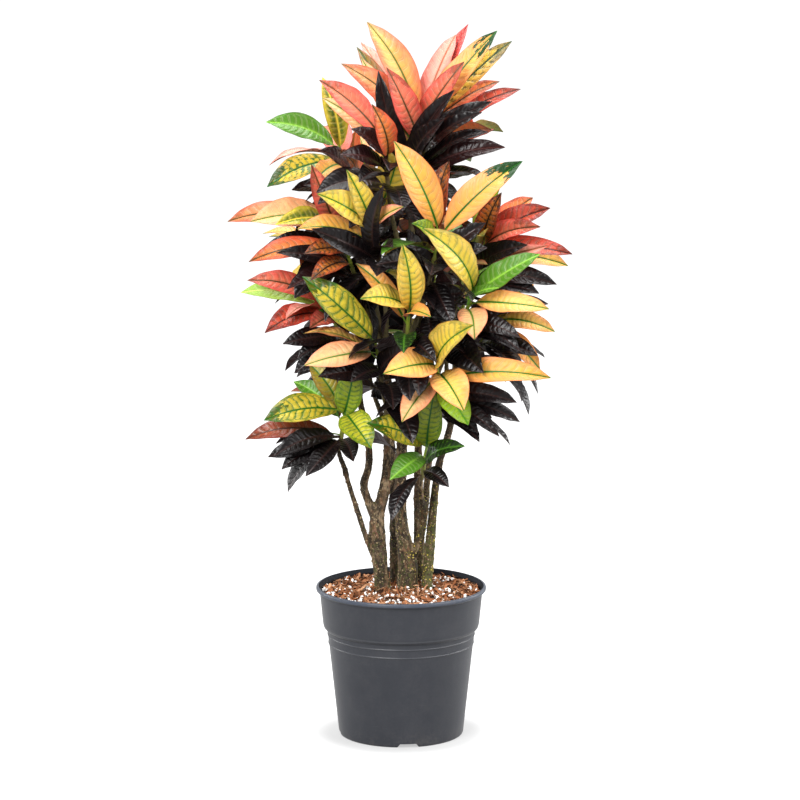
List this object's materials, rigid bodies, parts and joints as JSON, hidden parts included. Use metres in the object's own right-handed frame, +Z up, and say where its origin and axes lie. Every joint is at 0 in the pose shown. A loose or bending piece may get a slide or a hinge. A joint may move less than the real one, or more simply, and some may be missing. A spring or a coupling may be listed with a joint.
{
  "type": "potted croton",
  "caption": "Croton house plant on several woody trunks, with broad variegated leaves over older near-black ones, in a round plastic nursery pot.",
  "frame": {"origin": "middle of the underside of the pot, on the surface that it stands on", "axes": "+Z up along the pot's axis, -Y towards the front of the plant, +X to its right as seen from the front"},
  "size_m": [0.537, 0.4773, 1.134],
  "materials": {
    "pot_plastic": "satin",
    "potting_mix": "matt",
    "bark": "matt",
    "leaf_yellow": "satin",
    "leaf_coral": "satin",
    "leaf_green": "satin",
    "leaf_dark": "gloss"
  },
  "bodies": {
    "root": {"pot": "pot_plastic", "soil": "potting_mix", "trunk_left": "bark", "trunk_middle": "bark", "trunk_right": "bark", "trunk_back_left": "bark", "trunk_back_right": "bark", "crown_young": "leaf_coral", "crown_old": "leaf_dark", "upper_front_young": "leaf_coral", "upper_front_old": "leaf_dark", "upper_left_young": "leaf_green", "upper_left_old": "leaf_dark", "mid_front_young": "leaf_yellow", "mid_front_old": "leaf_dark", "mid_right_young": "leaf_yellow", "mid_right_old": "leaf_dark", "right_front_young": "leaf_yellow", "right_front_old": "leaf_dark", "right_back_young": "leaf_yellow", "right_back_old": "leaf_dark", "front_young": "leaf_yellow", "front_old": "leaf_dark", "left_front_young": "leaf_green", "left_front_old": "leaf_dark", "low_front_young": "leaf_yellow", "low_front_old": "leaf_dark", "low_left_young": "leaf_green", "low_left_old": "leaf_dark", "low_middle_young": "leaf_green", "low_middle_old": "leaf_dark", "left_upper_mid_young": "leaf_coral", "left_upper_mid_old": "leaf_dark", "left_mid_young": "leaf_coral", "left_mid_old": "leaf_dark", "left_lower_young": "leaf_coral", "left_lower_old": "leaf_dark", "right_lower_young": "leaf_yellow", "right_lower_old": "leaf_dark", "heart_upper_young": "leaf_yellow", "heart_upper_old": "leaf_dark", "heart_lower_young": "leaf_yellow", "heart_lower_old": "leaf_dark", "heart_right_young": "leaf_yellow", "heart_right_old": "leaf_dark", "back_upper_left_young": "leaf_yellow", "back_upper_left_old": "leaf_dark", "back_upper_right_young": "leaf_yellow", "back_upper_right_old": "leaf_dark", "back_left_young": "leaf_yellow", "back_left_old": "leaf_dark", "back_young": "leaf_yellow", "back_old": "leaf_dark", "back_right_young": "leaf_yellow", "back_right_old": "leaf_dark", "back_lower_left_young": "leaf_yellow", "back_lower_left_old": "leaf_dark", "back_lower_young": "leaf_yellow", "back_lower_old": "leaf_dark"}
  },
  "joints": []
}
